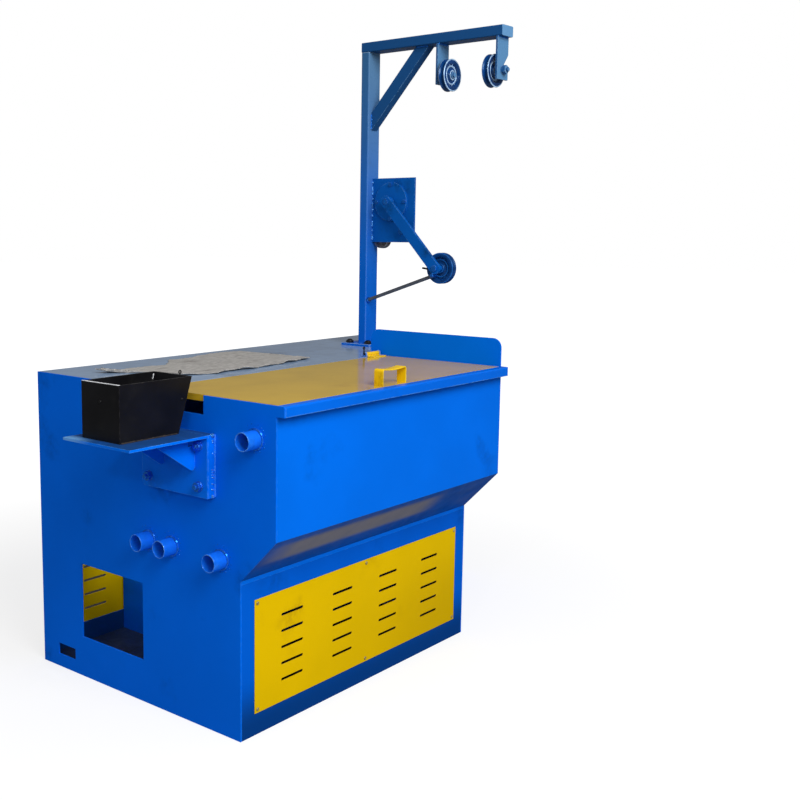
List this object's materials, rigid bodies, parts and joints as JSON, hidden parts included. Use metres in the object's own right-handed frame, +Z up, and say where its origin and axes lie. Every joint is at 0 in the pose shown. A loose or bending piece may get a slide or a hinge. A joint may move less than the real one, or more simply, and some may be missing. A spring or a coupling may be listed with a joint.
{
  "type": "wire drawing machine",
  "caption": "Tank type wire drawing machine: steel cabinet with hinged tank lid, die box on a shelf, pipe stubs and a mast with guide pulleys and a dancer arm.",
  "frame": {"origin": "on the floor, at the middle of the tank's length and of the cabinet's depth", "axes": "+X along the tank front towards the mast, +Y from the tank front to the back, +Z up"},
  "size_m": [2.233, 1.149, 2.316],
  "materials": {
    "blue_paint": "gloss enamel",
    "yellow_paint": "gloss enamel",
    "grey_paint": "glossy grey-blue enamel",
    "black_paint": "satin black enamel",
    "mat_rubber": "dusty, creased",
    "dark_steel": "blackened",
    "steel_rod": "bright drawn bar",
    "zinc": "zinc plated",
    "cone_steel": "ground steel"
  },
  "bodies": {
    "cabinet": {"left_side_plate": "blue_paint", "right_side_plate": "blue_paint", "middle_wall": "blue_paint", "end_wall": "blue_paint", "rear_wall": "blue_paint", "rear_vent_panel": "yellow_paint", "base_front": "blue_paint", "front_vent_panel": "yellow_paint", "cabinet_floor": "blue_paint", "inner_partition": "blue_paint", "tank_shell": "blue_paint", "front_rim": "blue_paint", "table_top": "grey_paint", "table_mat": "mat_rubber", "hinge_lugs": "blue_paint", "hinge_pins": "dark_steel", "die_box": "black_paint", "die_shelf": "blue_paint", "shelf_standoff": "blue_paint", "shelf_bolts": "blue_paint", "pipe_stub_upper": "blue_paint", "pipe_stub_rear": "blue_paint", "pipe_stub_middle": "blue_paint", "pipe_stub_front": "blue_paint", "mast_tube": "blue_paint", "mast_foot": "blue_paint", "mast_arm": "blue_paint", "mast_brace": "blue_paint", "hanger_rear": "blue_paint", "hanger_front": "blue_paint", "axle_rear": "blue_paint", "axle_front": "blue_paint", "dancer_plate": "blue_paint", "dancer_flange": "blue_paint", "rest_rod": "steel_rod", "sensor_housing": "zinc", "cone_left": "cone_steel", "cone_right": "cone_steel"},
    "lid": {"tank_lid": "yellow_paint", "lid_handle": "yellow_paint", "lid_barrels": "yellow_paint"},
    "swing_arm": {"swing_arm": "blue_paint"},
    "dancer_pulley": {"dancer_pulley": "blue_paint"},
    "guide_pulley_rear": {"guide_pulley_rear": "blue_paint"},
    "guide_pulley_front": {"guide_pulley_front": "blue_paint"}
  },
  "joints": [
    {"name": "lid_hinge", "type": "hinge", "parent": "cabinet", "child": "lid", "pos_m": [0, -0.0825, 1.06], "axis": [-1, 0, 0], "range_deg": [0, 90]},
    {"name": "dancer_pivot", "type": "hinge", "parent": "cabinet", "child": "swing_arm", "pos_m": [0.89, 0.0655, 1.661], "axis": [-1, 0, 0], "range_deg": [0, 45]},
    {"name": "dancer_pulley_spin", "type": "hinge", "parent": "swing_arm", "child": "dancer_pulley", "pos_m": [0.89, -0.18359, 1.39012], "axis": [1, 0, 0], "continuous": true},
    {"name": "guide_pulley_rear_spin", "type": "hinge", "parent": "cabinet", "child": "guide_pulley_rear", "pos_m": [0.89, -0.202, 2.153], "axis": [0, 1, 0], "continuous": true},
    {"name": "guide_pulley_front_spin", "type": "hinge", "parent": "cabinet", "child": "guide_pulley_front", "pos_m": [0.89, -0.399, 2.153], "axis": [0, 1, 0], "continuous": true}
  ]
}
